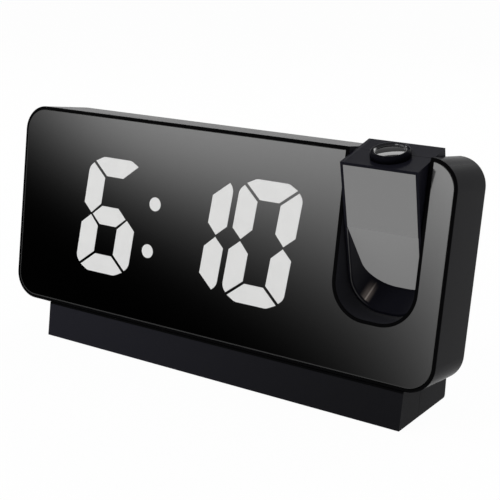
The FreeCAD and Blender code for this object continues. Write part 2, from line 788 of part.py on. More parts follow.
def make_cell():
    bore, floor = "cell_radius + holder_gap", ON_BOARD + " + cell_floor"
    rim = floor + " + cell_thick"
    cup = [("0", ON_BOARD), (bore + " + holder_wall", ON_BOARD), (bore + " + holder_wall", rim), (bore, rim),
           (bore, floor), ("0", floor)]
    keep(turned("holder", TOP, cup, "cell_across", "low_row"), "cell_holder", "body")
    low = floor + " + fit_gap"
    high = low + " + cell_thick"
    coin = [("0", low), ("cell_radius", low), ("cell_radius", high), ("0", high)]
    keep(turned("coin", TOP, coin, "cell_across", "low_row"), "coin_cell", "body")


def make_socket(label, across, wide, tall, tongue_wide, tongue_thick, tongue_up):
    round_outer, round_inner = "2*socket_wall", "socket_wall"
    long = COVER_FACE + " - (%s)" % ON_BOARD
    case = middle_box(across, "low_row", wide, tall, round_outer)
    shell = prism(label + "_case", FRONT, case, ON_BOARD, long)
    inner = middle_box(across, "low_row", wide + " - 2*socket_wall", tall + " - 2*socket_wall", round_inner)
    room = prism(label + "_room", FRONT, inner, ON_BOARD + " + socket_floor", "2*body_deep")
    keep(cut(label + "_cut", shell, room), label + "_shell", "body")
    tongue = middle_box(across, "low_row + " + tongue_up, tongue_wide, tongue_thick)
    start = ON_BOARD + " + socket_floor"
    keep(prism(label + "_blade", FRONT, tongue, start, long + " - socket_floor - tongue_short"),
         label + "_tongue", "body")


def make_buttons():
    top, base = COVER_FACE + " + button_proud", COVER_INNER + " - button_flange_thick - fit_gap"
    foot = ON_BOARD + " + switch_high + plunger_high + button_travel + press_gap"
    skirt = base + " + button_flange_thick"
    wide = "button_radius + button_flange"
    for place, label in enumerate(BUTTONS):
        cap = [("0", base), (wide, base), (wide, skirt), ("button_radius", skirt),
               ("button_radius", top + " - button_soft"), ("button_radius - button_soft", top), ("0", top)]
        across, stem_long = button_across(place), skirt + " - (%s)" % foot
        head = turned(label + "_cap", TOP, cap, across, "button_high")
        stem = faceted(label + "_stem", FRONT, across, "button_high", "button_stem", foot, stem_long)
        keep(joined(label + "_solid", head, stem), label, "body")


# Foot: two shells parted upright, a sole plate and grip pads

HALF = "foot_deep/2"
FOOT_FRONT_TOP = "-%s + foot_tall*tan(lean*1deg)" % HALF
HEEL_Y = FOOT_FRONT_TOP + " + body_deep*cos(lean*1deg)"
HEEL_Z = "foot_tall - body_deep*sin(lean*1deg)"
SEAM_Y = "-%s + foot_seam" % HALF
SOLE_PLACES = [(a, y) for a in ("-foot_left + sole_post_inset", "foot_right - sole_post_inset")
               for y in ("-%s + sole_post_inset" % HALF, "%s - sole_post_inset" % HALF)]
PAD_PLACES = ("-pad_spread/2 - pad_wide/2", "pad_spread/2 + pad_wide/2")


def foot_parts(name, points):
    """One part of the foot as a block and as the shell left when it is hollowed."""
    wide = "foot_left + foot_right"
    block = prism(name + "_block", SIDE, points, "-foot_left", wide)
    inner_back, inner_front = HALF + " - foot_wall", "-%s + foot_wall" % HALF
    room_points = [
        (inner_front, "-foot_wall"), (inner_back, "-foot_wall"), (inner_back, HEEL_Z + " - foot_wall"),
        (HEEL_Y, HEEL_Z + " - foot_wall"), (FOOT_FRONT_TOP + " + foot_wall", "foot_tall - foot_roof"),
    ]
    room = prism(name + "_room", SIDE, room_points, "-foot_left + foot_wall", wide + " - 2*foot_wall")
    return block, cut(name + "_shell", block, room)


def make_foot():
    roof = "foot_tall - (%s - (%s))*tan(lean*1deg)"
    back_y = SEAM_Y + " + seam_gap"
    front = [("-" + HALF, "0"), (SEAM_Y, "0"), (SEAM_Y, roof % (SEAM_Y, FOOT_FRONT_TOP)),
             (FOOT_FRONT_TOP, "foot_tall")]
    rear = [(back_y, "0"), (HALF, "0", "foot_soft"), (HALF, HEEL_Z, "foot_soft"), (HEEL_Y, HEEL_Z),
            (back_y, roof % (back_y, FOOT_FRONT_TOP))]
    holes = [clear_hole("stand_hole", TOP, a, deep, "-stop_over", "2*stop_over") for a, deep in STAND_PLACES]
    leaning = group("stand_holes", holes)
    leaning.Placement = Placement(Vector(0, 0, 0), Rotation(Vector(1, 0, 0), 1))
    bind(leaning, "Placement.Base.y", FOOT_FRONT_TOP)
    bind(leaning, "Placement.Base.z", "foot_tall")
    bind(leaning, "Placement.Rotation.Angle", "-lean")
    for label, points, at_front in (("foot_front", front, True), ("foot_rear", rear, False)):
        block, shell = foot_parts(label + "_part", points)
        posts, pilots = [], []
        for a, y in SOLE_PLACES:
            if y.startswith("-") != at_front:
                continue
            posts.append(faceted("sole_post", TOP, a, y, "sole_post", "sole_thick + fit_gap", "foot_tall"))
            pilots.append(pilot("sole_pilot", TOP, a, y, "0", "screw_long"))
        inside = common(label + "_posts", joined(label + "_post_group", *posts), block)
        solid = joined(label + "_solid", shell, inside)
        keep(cut(label + "_cut", solid, leaning, *pilots), label, "foot")
    edge = "foot_wall + sole_gap"
    points = box_points("-foot_left + " + edge, "foot_right - (%s)" % edge,
                        "-%s + %s + sole_thick*tan(lean*1deg)" % (HALF, edge), "%s - (%s)" % (HALF, edge))
    plate = prism("sole_block", TOP, points, "0", "sole_thick")
    cuts = []
    for a, y in SOLE_PLACES:
        cuts.append(clear_hole("sole_hole", TOP, a, y, "-stop_over", "2*stop_over"))
        cuts.append(disc("sole_sink", TOP, a, y, SINK_RADIUS, "-stop_over", "stop_over + screw_head_thick"))
    pads = []
    for place in PAD_PLACES:
        grown = middle_box("0", place, "pad_long + 2*fit_gap", "pad_wide + 2*fit_gap", "pad_wide/2")
        cuts.append(prism("pad_seat", TOP, grown, "-stop_over", "stop_over + pad_thick - pad_proud"))
        strip = middle_box("0", place, "pad_long", "pad_wide", "pad_wide/2 - fit_gap")
        pads.append(prism("pad", TOP, strip, "-pad_proud", "pad_thick"))
    keep(cut("sole", plate, *cuts), "foot_sole", "foot")
    keep(group("pad_group", pads), "grip_pads", "foot")
    long = "screw_long - 2*screw_head_thick"
    screws = [screw("sole_screw", TOP, a, y, "0", "+", long) for a, y in SOLE_PLACES]
    keep(group("sole_screw_group", screws), "foot_sole_screws", "foot")
    head = "-foot_roof - screw_head_thick - fit_gap"
    stand = [screw("stand_screw", TOP, a, deep, head, "+", "screw_long") for a, deep in STAND_PLACES]
    keep(group("stand_screw_group", stand), "stand_screws", "body")


# Projector arm, drawn about its pin: x across, y into the depth, z up the arm

ARM_FACE = "-arm_deep/2"
ARM_BACK = "arm_deep/2"
SEAM_FACE = "arm_seam - arm_deep/2"
LENS_Y = "lens_axis - arm_deep/2"


def arm_u(name, inset, start, length):
    """A block with the arm's U outline, drawn in by inset, whose floor climbs towards the back."""
    body = new_body(name)
    outline = Outline(body, FRONT, away(FRONT, "%s + (%s)" % (ARM_FACE, start)))
    half, radius = "arm_wide/2 - (%s)" % inset, "arm_corner - (%s)" % inset
    rise = "(%s)*tan(arm_draft*1deg)" % start
    low, high = "-arm_drop + (%s) + %s" % (inset, rise), "arm_top + stop_over"
    other = "-(%s)" % half
    outline.corners([(other, low, radius), (half, low, radius), (half, high), (other, high)])
    block = extrude(body, outline, length, FRONT)
    block.Reversed = False
    block.UseCustomVector = True
    block.Direction = Vector(0, 1, math.tan(math.radians(number("arm_draft"))))
    bind(block, "Direction.z", "tan(arm_draft*1deg)")
    lid = body.newObject("PartDesign::Pocket", "Pocket")
    top = Outline(body, TOP, "arm_top - (%s)" % inset)
    half_wide, reach = "arm_wide", "2*arm_deep"
    top.corners(box_points("-" + half_wide, half_wide, "-" + reach, reach))
    lid.Profile = top.sketch
    lid.Reversed = True
    bind(lid, "Length", "arm_top + arm_drop")
    return body


def mirror_side(thick, front, border):
    """The folded mirror seen from the side, from a front plane back by its thickness."""
    bend = "tan(facet_angle/2*1deg)"
    fall = "arm_drop"
    far = "%s + (%s)*tan(facet_angle*1deg)" % (ARM_FACE, fall)
    low = "-fold_drop - (%s)" % fall
    top = "arm_top - (%s)" % border
    behind, slant = "%s + (%s)" % (ARM_FACE, thick), "(%s)/cos(facet_angle*1deg)" % thick
    fore = [(front, top), (front, low)] if front != ARM_FACE else [
        (ARM_FACE, top), (ARM_FACE, "-fold_drop"), (far, low)]
    aft = [("%s + %s" % (far, slant), low), (behind, "-fold_drop + (%s)*%s" % (thick, bend)), (behind, top)]
    return fore + aft


def across_arm(name, points):
    return prism(name, SIDE, points, "-arm_wide", "2*arm_wide")


def arm_cuts():
    """Everything cut from both arm shells: the hollow, the open front, the lens way and the pin holes."""
    hollow = arm_u("arm_hollow", "arm_wall", "0", "arm_deep - arm_wall")
    reach = "arm_deep"
    room = common("arm_room", arm_u("arm_tray", "arm_border", "-arm_border", reach),
                  across_arm("arm_room_side", mirror_side("arm_mirror_thick + 2*fit_gap",
                                                          ARM_FACE + " - stop_over", "arm_border")))
    way = disc("lens_way", TOP, "0", LENS_Y, "barrel_radius + barrel_gap", "0", "arm_top + stop_over")
    pins = disc("arm_pin_way", SIDE, "0", "0", "pin_radius + pin_gap", "-arm_wide", "2*arm_wide")
    return hollow, room, way, pins


def arm_screw_places():
    return [(side + "arm_screw_across", up)
            for side in ("", "-") for up in ("arm_screw_high", "arm_screw_low")]


def make_arm_shells():
    block = arm_u("arm_block", "0", "0", "arm_deep")
    dress(block, "Chamfer", "arm_soft", edge_at("y", ARM_BACK))
    fore = prism("arm_fore", FRONT, box_points("-arm_wide", "arm_wide", "-2*arm_drop", "2*arm_drop"),
                 "-arm_deep", "arm_deep + " + SEAM_FACE)
    aft = prism("arm_aft", FRONT, box_points("-arm_wide", "arm_wide", "-2*arm_drop", "2*arm_drop"),
                SEAM_FACE + " + seam_gap", "arm_deep")
    hollow, room, way, pins = arm_cuts()
    bosses, pilots, holes = [], [], []
    for start in ("arm_wide/2 - arm_wall/2 - boss_wide", "-(arm_wide/2 - arm_wall/2)"):
        bosses.append(disc("pin_boss", SIDE, "0", "0", "boss_radius", start, "boss_wide"))
    sink = "arm_deep/2 - arm_wall"
    post_long = sink + " - arm_post_start"
    for across, up in arm_screw_places():
        bosses.append(faceted("arm_post", FRONT, across, up, "arm_post", "arm_post_start", post_long))
        pilots.append(pilot("arm_pilot", FRONT, across, up, ARM_FACE, "arm_deep"))
        holes.append(clear_hole("arm_hole", FRONT, across, up, "0", "arm_deep"))
        holes.append(disc("arm_sink", FRONT, across, up, "screw_head + thread_gap", sink, "arm_deep"))
    solid = joined("arm_solid", cut("arm_walls", block, hollow, room), *bosses)
    front_half, rear_half = common("arm_front_block", solid, fore), common("arm_rear_block", solid, aft)
    keep(cut("arm_front_cut", front_half, way, pins, *pilots), "arm_front_shell", "arm")
    keep(cut("arm_rear_cut", rear_half, way, pins, *holes), "arm_rear_shell", "arm")
    screws = [screw("arm_screw", FRONT, a, u, sink + " + screw_head_thick", "-", "arm_screw_long")
              for a, u in arm_screw_places()]
    keep(group("arm_screw_group", screws), "arm_screws", "arm")


def make_arm_mirror():
    outline = arm_u("arm_mirror_outline", "arm_border + fit_gap", "0", "arm_deep")
    side = across_arm("arm_mirror_side", mirror_side("arm_mirror_thick", ARM_FACE, "arm_border + fit_gap"))
    keep(common("arm_mirror_solid", outline, side), "arm_mirror", "arm")


def make_pivots():
    """Each pin is turned about the x axis: (across, radius) points, mirrored for the left side."""
    end = "slot_wide/2 + wall + pin_over"
    clip = "slot_wide/2 + wall + washer_gap"
    gap = "arm_wide/2 + washer_gap"
    wash = "slot_wide/2 - arm_wide/2 - 2*washer_gap"
    groove = "pin_radius - clip_groove"
    after = clip + " + clip_thick + 2*washer_gap"
    for label, sign, bore in (("pivot_pin", "", "0"), ("pivot_sleeve", "-", "pin_bore")):
        side = "right" if sign == "" else "left"
        pin = [("pin_inner", bore), (end, bore), (end, "pin_radius"), (after, "pin_radius"), (after, groove),
               (clip, groove), (clip, "pin_radius"), ("pin_inner", "pin_radius")]
        washer = [(gap, "pin_radius + pin_gap"), (gap + " + " + wash, "pin_radius + pin_gap"),
                  (gap + " + " + wash, "washer_radius"), (gap, "washer_radius")]
        ring_low, ring_high = clip + " + washer_gap", clip + " + washer_gap + clip_thick"
        ring = [(ring_low, groove + " + washer_gap"), (ring_high, groove + " + washer_gap"),
                (ring_high, "clip_radius"), (ring_low, "clip_radius")]
        pieces = ((label, pin), ("friction_washer_" + side, washer), ("pivot_clip_" + side, ring))
        for name, points in pieces:
            sided = [("%s(%s)" % (sign, along), radius) for along, radius in points]
            keep(turned(name + "_turned", TOP, sided, about="H_Axis"), name, "arm")


# Optics on the lens axis, from the focus ring down to the lamp


def on_lens_axis(name, points):
    return turned(name, FRONT, points, place=LENS_Y)


def make_optics():
    flange, top = "arm_top + ring_gap", "arm_top + ring_proud"
    low, seat = "arm_top + ring_gap - barrel_long", "arm_top + ring_proud - ring_lip"
    bore = "lens_radius + lens_gap"
    ring = [("barrel_radius", low), ("barrel_radius", flange), ("ring_radius", flange),
            ("ring_radius", top + " - ring_soft"), ("ring_radius - ring_soft", top), ("ring_bore", top),
            ("ring_bore", seat), (bore, seat), (bore, low)]
    keep(on_lens_axis("focus_turned", ring), "focus_ring", "arm")
    lens_top = seat + " - lens_gap"
    lens_low = lens_top + " - lens_edge"
    edge = [("0", lens_low), ("lens_radius", lens_low), ("lens_radius", lens_top), ("0", lens_top)]
    cap = doc.addObject("Part::Sphere", "lens_cap")
    chord = "(lens_radius - 2*lens_gap - solder_gap)"
    bulge = "(%s*%s + lens_rise*lens_rise)/(2*lens_rise)" % (chord, chord)
    bind(cap, "Radius", bulge)
    bind(cap, "Placement.Base.y", LENS_Y)
    bind(cap, "Placement.Base.z", lens_top + " + lens_rise - (%s)" % bulge)
    upper = disc("lens_cap_limit", TOP, "0", LENS_Y, "lens_radius", lens_top, "lens_edge")
    lens = joined("lens_solid", on_lens_axis("lens_turned", edge), common("lens_bulge", cap, upper))
    keep(lens, "projection_lens", "arm")
    keeper_top = lens_low + " - lens_gap"
    keeper_low = keeper_top + " - keeper_thick"
    keeper = [("keeper_bore", keeper_low), ("lens_radius", keeper_low), ("lens_radius", keeper_top),
              ("keeper_bore", keeper_top)]
    keep(on_lens_axis("keeper_turned", keeper), "lens_keeper", "arm")
    tube_top = "arm_top - arm_wall - fit_gap"
    tube_low = tube_top + " - tube_long"
    shelf, inner = tube_low + " + film_up", "barrel_radius + barrel_gap"
    tube = [("film_shelf", tube_low), ("tube_radius", tube_low), ("tube_radius", tube_top),
            (inner, tube_top), (inner, shelf), ("film_shelf", shelf)]
    keep(on_lens_axis("tube_turned", tube), "lens_tube", "arm")
    film_low = shelf + " + lens_gap"
    film_high = film_low + " + film_thick"
    film = [("0", film_low), ("barrel_radius", film_low), ("barrel_radius", film_high), ("0", film_high)]
    keep(on_lens_axis("film_turned", film), "image_film", "arm")
    board_top = tube_low + " - fit_gap"
    board_low = board_top + " - lamp_board_thick"
    board = [("0", board_low), ("tube_radius", board_low), ("tube_radius", board_top), ("0", board_top)]
    keep(on_lens_axis("lamp_board_turned", board), "lamp_board", "arm")
    lamp_low = board_top + " + solder_gap/2"
    lamp_high = lamp_low + " + lamp_dome_high"
    lamp = [("0", lamp_low), ("lamp_radius", lamp_low), ("lamp_radius", lamp_high + " - lamp_radius"),
            ("lamp_radius/2", lamp_high), ("0", lamp_high)]
    keep(on_lens_axis("lamp_turned", lamp), "projector_lamp", "arm")


make_housing()
make_mirror()
make_digits()
make_display_back()
make_cover()
make_door()
make_main_board()
make_cell()
make_socket("output_socket", "output_across", "output_wide", "output_tall",
            "output_tongue_wide", "output_tongue_thick", "socket_floor")
make_socket("input_socket", "input_across", "input_wide", "input_tall",
            "input_tongue_wide", "input_tongue_thick", "0")
make_buttons()
make_foot()
make_arm_shells()
make_arm_mirror()
make_pivots()
make_optics()
doc.recompute()

# Every object is sound before anything is written

for thing in doc.Objects:
    if "Invalid" in thing.State or "Error" in thing.State:
        raise RuntimeError("%s did not build" % thing.Label)
for node in NODES:
    if node.Shape.isNull() or not node.Shape.isValid() or not node.Shape.Solids:
        raise RuntimeError("%s has no sound solid" % node.Label)

os.makedirs("parts", exist_ok=True)
for node in NODES:
    node.Shape.exportStep("parts/%s.step" % node.Label)
    print("%s: %d solids, %.1f mm3" % (node.Label, len(node.Shape.Solids), node.Shape.Volume))
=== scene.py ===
"""Dresses the projection clock: finishes, collar, lens, screws, contacts, a plain studio and the camera."""
import bmesh
import bpy
import json
import math
from mathutils import Matrix, Vector


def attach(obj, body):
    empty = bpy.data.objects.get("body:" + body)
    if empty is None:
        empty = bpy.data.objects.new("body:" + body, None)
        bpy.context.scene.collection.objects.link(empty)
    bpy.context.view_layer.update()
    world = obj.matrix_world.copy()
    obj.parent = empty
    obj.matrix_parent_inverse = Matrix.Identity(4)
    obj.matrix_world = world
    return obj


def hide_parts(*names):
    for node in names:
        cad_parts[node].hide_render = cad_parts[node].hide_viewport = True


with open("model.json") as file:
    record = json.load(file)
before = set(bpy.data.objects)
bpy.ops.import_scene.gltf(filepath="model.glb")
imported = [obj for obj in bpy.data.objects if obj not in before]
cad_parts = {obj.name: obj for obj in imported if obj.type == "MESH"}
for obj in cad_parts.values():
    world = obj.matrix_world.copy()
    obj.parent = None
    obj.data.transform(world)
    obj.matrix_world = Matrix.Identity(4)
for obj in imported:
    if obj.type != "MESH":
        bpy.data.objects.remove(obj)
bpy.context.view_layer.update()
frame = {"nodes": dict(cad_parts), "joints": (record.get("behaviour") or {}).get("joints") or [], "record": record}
MM = 0.001

# Where things lie, read from the frame


def joint(name):
    """Where a joint lies, and which way its axis points."""
    found = [entry for entry in frame["joints"] if entry["name"] == name][0]
    return Vector(found["pos_m"]), Vector(found["axis"]).normalized()


def reach(name, way):
    """How near and how far a node lies along a direction."""
    spots = [vertex.co.dot(way) for vertex in frame["nodes"][name].data.vertices]
    return min(spots), max(spots)


ACROSS = Vector((1, 0, 0))
BACKWARD = joint("cell_door_lift")[1]
UPWARD = ACROSS.cross(BACKWARD)
ARM_PIN = joint("arm_tilt")[0]
LENS_SPOT, ARM_UP = joint("focus_turn")
ARM_BACKWARD = ARM_UP.cross(ACROSS)
HOUSING_FRONT = reach("front_housing", BACKWARD)[0]
PANEL_LEFT, PANEL_RIGHT = reach("mirror_panel", ACROSS)
PANEL_LOW, PANEL_HIGH = reach("mirror_panel", UPWARD)
ARM_FACE = reach("arm_front_shell", ARM_BACKWARD)[0]
FOLD_BELOW_PIN = 2.1 * MM
FOLD = ARM_PIN.dot(ARM_UP) - FOLD_BELOW_PIN


# Shader maths as plain expressions


class Flow:
    """A value on its way through the nodes."""

    def __init__(self, socket):
        self.socket = socket

    def reckon(self, operation, *values):
        made = self.socket.id_data.nodes.new("ShaderNodeMath")
        made.operation = operation
        for place, value in zip(made.inputs, values):
            feed(place, value)
        return Flow(made.outputs[0])

    def __add__(self, other):
        return self.reckon("ADD", self, other)

    def __radd__(self, other):
        return self.reckon("ADD", other, self)

    def __sub__(self, other):
        return self.reckon("SUBTRACT", self, other)

    def __rsub__(self, other):
        return self.reckon("SUBTRACT", other, self)

    def __mul__(self, other):
        return self.reckon("MULTIPLY", self, other)

    def __rmul__(self, other):
        return self.reckon("MULTIPLY", other, self)

    def __truediv__(self, other):
        return self.reckon("DIVIDE", self, other)

    def __rtruediv__(self, other):
        return self.reckon("DIVIDE", other, self)

    def __pow__(self, other):
        return self.reckon("POWER", self, other)

    def __rpow__(self, other):
        return self.reckon("POWER", other, self)

    def most(self, other):
        return self.reckon("MAXIMUM", self, other)

    def least(self, other):
        return self.reckon("MINIMUM", self, other)

    def size(self):
        return self.reckon("ABSOLUTE", self)


def feed(place, value):
    """Links a flow to a socket, or sets the socket's own value."""
    if isinstance(value, Flow):
        place.id_data.links.new(value.socket, place)
    elif isinstance(value, tuple) and len(place.default_value) == 4:
        place.default_value = (*value, 1.0)
    else:
        place.default_value = value


def colour_sockets(sockets):
    return [socket for socket in sockets if socket.type == "RGBA"]


class Tree:
    """The nodes of one material or of the world."""

    def __init__(self, tree):
        self.tree = tree

    def node(self, kind, *ordered, out=0, settings=(), **named):
        """Adds a node: its settings first, then what feeds its sockets, in order or by name."""
        made = self.tree.nodes.new(kind)
        for name, value in dict(settings).items():
            setattr(made, name, value)
        for place, value in zip(made.inputs, ordered):
            feed(place, value)
        for name, value in named.items():
            feed(made.inputs[name.replace("_", " ")], value)
        return Flow(made.outputs[out])

    def between(self, value, low, high, start=0.0, end=1.0):
        """Goes smoothly from start to end as the value goes from low to high."""
        return self.node("ShaderNodeMapRange", value, low, high, start, end,
                         settings={"interpolation_type": "SMOOTHSTEP"})

    def until(self, value, low, high, full=1.0):
        """Full as far as low, from where it falls smoothly to 0 at high."""
        return self.between(value, low, high, full, 0.0)


class Finish(Tree):
    """One material: a plain surface shader whose sockets are fed by name."""

    def __init__(self, name, **values):
        self.material = bpy.data.materials.new(name)
        self.material.use_nodes = True
        super().__init__(self.material.node_tree)
        self.shader = self.tree.nodes["Principled BSDF"]
        self.place = self.node("ShaderNodeTexCoord", out="Object")
        self.set(**values)

    def set(self, **values):
        for name, value in values.items():
            feed(self.shader.inputs[name.replace("_", " ")], value)

    def along(self, way, start=0.0):
        """How far the surface lies along a direction, counted from start."""
        return self.node("ShaderNodeVectorMath", self.place, way, out="Value",
                         settings={"operation": "DOT_PRODUCT"}) - start

    def noise(self, scale, detail=2.0, roughness=0.5):
        return self.node("ShaderNodeTexNoise", Vector=self.place, Scale=scale, Detail=detail,
                         Roughness=roughness)

    def blend(self, factor, first, second):
        """The first colour where the factor is 0, and the second where it is 1."""
        made = self.node("ShaderNodeMix", factor, settings={"data_type": "RGBA"}).socket.node
        for place, colour in zip(colour_sockets(made.inputs), (first, second)):
            feed(place, colour)
        return Flow(colour_sockets(made.outputs)[0])

    def as_grey(self, value):
        """The grey whose red, green and blue are all one value."""
        return self.node("ShaderNodeCombineColor", Red=value, Green=value, Blue=value)

    def bump(self, height, strength, distance):
        self.set(Normal=self.node("ShaderNodeBump", Height=height, Strength=strength, Distance=distance))


def grey(level):
    """The plain colour that a screen shows at a level out of 255."""
    part = level / 255
    shade = ((part + 0.055) / 1.055) ** 2.4 if part > 0.04 else part / 12.92
    return (shade, shade, shade)


def tinted(shade, blue):
    """A near-black shade with its blue strengthened."""
    return (shade, shade, shade * blue)


def rounded(across, up, radius):
    """How far a point is outside a rounded corner, from how far it is past the corner's middle."""
    over_across, over_up = across.most(0.0), up.most(0.0)
    outside = (over_across * over_across + over_up * over_up) ** 0.5
    return outside + across.most(up).least(0.0) - radius


# Finishes of the moulded cases

# A grain is its scale, detail, harshness, strength and depth
FINE_GRAIN = (2600.0, 2.0, 0.6, 0.08, 0.02 * MM)
COARSE_GRAIN = (1300.0, 3.0, 0.7, 0.35, 0.04 * MM)


def moulded(name, shade, blue=1.1, roughness=0.24, density=1.052, grain=FINE_GRAIN):
    """Black spark-etched moulding, with faint unevenness in its gloss.

    A low optical density keeps it deep black from the front and lets it shine along grazing views."""
    finish = Finish(name)
    patch = finish.noise(35.0, 3.0)
    finish.colour = finish.blend(patch, tinted(shade * 0.9, blue), tinted(shade * 1.1, blue))
    finish.roughness = roughness + (patch - 0.5) * 0.06
    finish.set(Base_Color=finish.colour, Roughness=finish.roughness, IOR=density)
    scale, detail, harshness, strength, depth = grain
    finish.bump(finish.noise(scale, detail, harshness), strength, depth)
    return finish


def housing_black(name):
    """The case's moulding: a deeper black on the rim round the front panel, duller in the arm's slot, with painted
    light on the slot's walls and a painted shade across the foot.
    """
    finish = moulded(name, 0.0125)
    foot_height, slot_half_wide, slot_height = -2.0 * MM, 14.8 * MM, 10.0 * MM
    height = finish.along(UPWARD, PANEL_LOW)
    behind_rim = finish.between(finish.along(BACKWARD, HOUSING_FRONT), 0.15 * MM, 0.6 * MM)
    foot = finish.until(height, foot_height, foot_height + 0.2 * MM)
    from_arm = finish.along(ACROSS, ARM_PIN.x).size()
    slot = finish.until(from_arm, slot_half_wide, slot_half_wide + 0.15 * MM)
    slot = slot * finish.between(height, slot_height, slot_height + 2.0 * MM)
    # Painted light: the slot's shaded walls get a paler black
    slot_walls_painted_light = finish.blend(slot, finish.colour, tinted(0.021, 1.2))
    case = finish.blend(behind_rim, tinted(0.0022, 1.1), slot_walls_painted_light)
    # Painted shade on the foot: its black goes from paler at the left to darker at the right
    rightward = finish.between(finish.along(ACROSS), -90 * MM, 90 * MM)
    foot_painted_shade = finish.blend(rightward, tinted(0.0175, 1.3), tinted(0.0100, 1.15))
    finish.set(Base_Color=finish.blend(foot, case, foot_painted_shade), Roughness=finish.roughness + slot * 0.45)
    return finish


def arm_black(name):
    """The arm's moulding, with a painted highlight on the mouth of its recess, painted light on the recess's
    shaded left wall and a painted highlight streak on its curved wall.
    """
    finish = moulded(name, 0.0088, blue=1.5, density=1.08)
    corner_aside, corner_below, corner_radius, draft = 2.0 * MM, 22.0 * MM, 11.1 * MM, 0.231
    left_end, streak_middle, core_middle = -13.2 * MM, -9.0 * MM, -8.8 * MM
    across = finish.along(ACROSS, ARM_PIN.x)
    deep = finish.along(ARM_BACKWARD, ARM_FACE)
    below = finish.along(ARM_UP, ARM_PIN.dot(ARM_UP)) * -1.0 - corner_below + deep * draft
    from_wall = rounded(across.size() - corner_aside, below, corner_radius).size()
    # Painted highlight: a pale line along the recess's mouth, where its edge catches the light
    mouth_highlight = finish.until(from_wall, 0.08 * MM, 0.2 * MM) * finish.until(deep, 0.2 * MM, 0.5 * MM)
    mouth_highlight = mouth_highlight * finish.until(across, left_end, -6.0 * MM)
    mouth_highlight = mouth_highlight * finish.until(finish.along(ARM_UP), FOLD - 1.0 * MM, FOLD)
    inside = finish.until(from_wall, 0.2 * MM, 0.4 * MM) * finish.between(deep, 0.9 * MM, 1.5 * MM)
    # Painted light: the shaded left wall of the recess gets a paler black
    left_wall_painted_light = inside * finish.until(across, left_end, -10.0 * MM)
    shallow = inside * finish.until(deep, 4.0 * MM, 11.0 * MM)
    # Painted highlight: a brownish glint streak on the recess's curved wall, with a paler core
    streak = shallow * finish.until((across - streak_middle).size(), 0.3 * MM, 1.9 * MM, 0.7)
    streak_highlight_core = shallow * finish.until((across - core_middle).size(), 0.05 * MM, 0.35 * MM, 0.8)
    # The painted light and highlights are laid over the arm's black
    colour = finish.blend(left_wall_painted_light, finish.colour, tinted(0.025, 1.2))
    colour = finish.blend(mouth_highlight, colour, grey(95))
    colour = finish.blend(streak, colour, (0.26, 0.22, 0.20))
    finish.set(Base_Color=finish.blend(streak_highlight_core, colour, (0.62, 0.55, 0.50)))
    return finish


def collar_black(name):
    """Satin black, with a lacquered lip round the bore that catches the lamps."""
    finish = moulded(name, 0.0040, blue=1.5, roughness=0.16, density=1.045)
    across = finish.along(ACROSS, LENS_SPOT.dot(ACROSS))
    back = finish.along(ARM_BACKWARD, LENS_SPOT.dot(ARM_BACKWARD))
    radius = (across * across + back * back) ** 0.5
    finish.set(Coat_Weight=finish.until(radius, 5.35 * MM, 5.7 * MM), Coat_Roughness=0.05)
    return finish


def lens_dark(name):
    """Coated lens over the dark projector tube."""
    finish = Finish(name)
    patch = finish.noise(60.0)
    finish.set(Base_Color=finish.blend(patch, (0.003, 0.003, 0.004), (0.005, 0.005, 0.006)))
    finish.set(Roughness=0.02 + patch * 0.02, Specular_IOR_Level=0.42)
    return finish


# Finishes of the mirrors and the lit digits


def panel_edge(finish):
    """How far outside the front panel's rounded outline a point is, below 0 inside it."""
    radius = 8.8 * MM
    half_wide, half_tall = (PANEL_RIGHT - PANEL_LEFT) / 2, (PANEL_HIGH - PANEL_LOW) / 2
    across = finish.along(ACROSS, (PANEL_LEFT + PANEL_RIGHT) / 2).size() - (half_wide - radius)
    up = finish.along(UPWARD, (PANEL_LOW + PANEL_HIGH) / 2).size() - (half_tall - radius)
    return rounded(across, up, radius)


def front_glass(name):
    """Half-silvered panel whose colour carries a painted reflection: it fades from mid grey at its top right to
    black at its lower left.

    The painted fade follows a smooth climb up and across the panel, steep at first and level at its end."""
    finish = Finish(name)
    half_wide, tall, rim_below = 93 * MM, 78 * MM, 1.2 * MM
    across = finish.along(ACROSS) / half_wide
    up = finish.along(UPWARD, PANEL_LOW - rim_below) / tall
    # Painted reflection: the panel's base colour fades with its height and its place across it
    painted_fade = up * (1.0 - up * 0.378) + across * (0.459 - across * (0.106 - across * 0.093))
    painted_fade = painted_fade - across * up * (0.836 - across * 0.036 - up * 0.381) + 0.380
    steepness, shoulder, brightest = 4.46, 4.0, 0.609
    ramp = (painted_fade.most(0.0) * 0.984) ** steepness
    level = ramp / ((1.0 + ramp ** shoulder) ** (1 / shoulder)) * brightest
    shade = ((level + 0.055) / 1.055) ** 2.4 * 1.07 - 0.0008
    # Painted highlight: a pale grey line just inside the panel's outline, where its bevelled edge catches the
    # light
    edge_highlight = finish.between(panel_edge(finish), -0.65 * MM, -0.4 * MM, 0.0, grey(62)[0])
    patch = finish.noise(12.0)
    finish.set(Base_Color=finish.as_grey(shade.most(edge_highlight)), Metallic=(level * 6.0).least(0.8))
    finish.set(Roughness=0.10 + patch * 0.02, IOR=1.03)
    return finish


def arm_glass(name):
    """The arm's folded mirror: an even grey, with a glow of its own below the fold, where it is shaded."""
    finish = Finish(name)
    patch = finish.noise(20.0, 1.0)
    below = finish.until(finish.along(ARM_UP), FOLD - 0.05 * MM, FOLD + 0.05 * MM)
    colour = finish.blend(below, finish.blend(patch, grey(126), grey(128)), grey(72))
    finish.set(Base_Color=colour, Metallic=0.9 - below * 0.9, Roughness=0.08 + patch * 0.02)
    finish.set(Emission_Color=finish.as_grey(below * 0.182), Emission_Strength=1.0, IOR=1.03)
    return finish


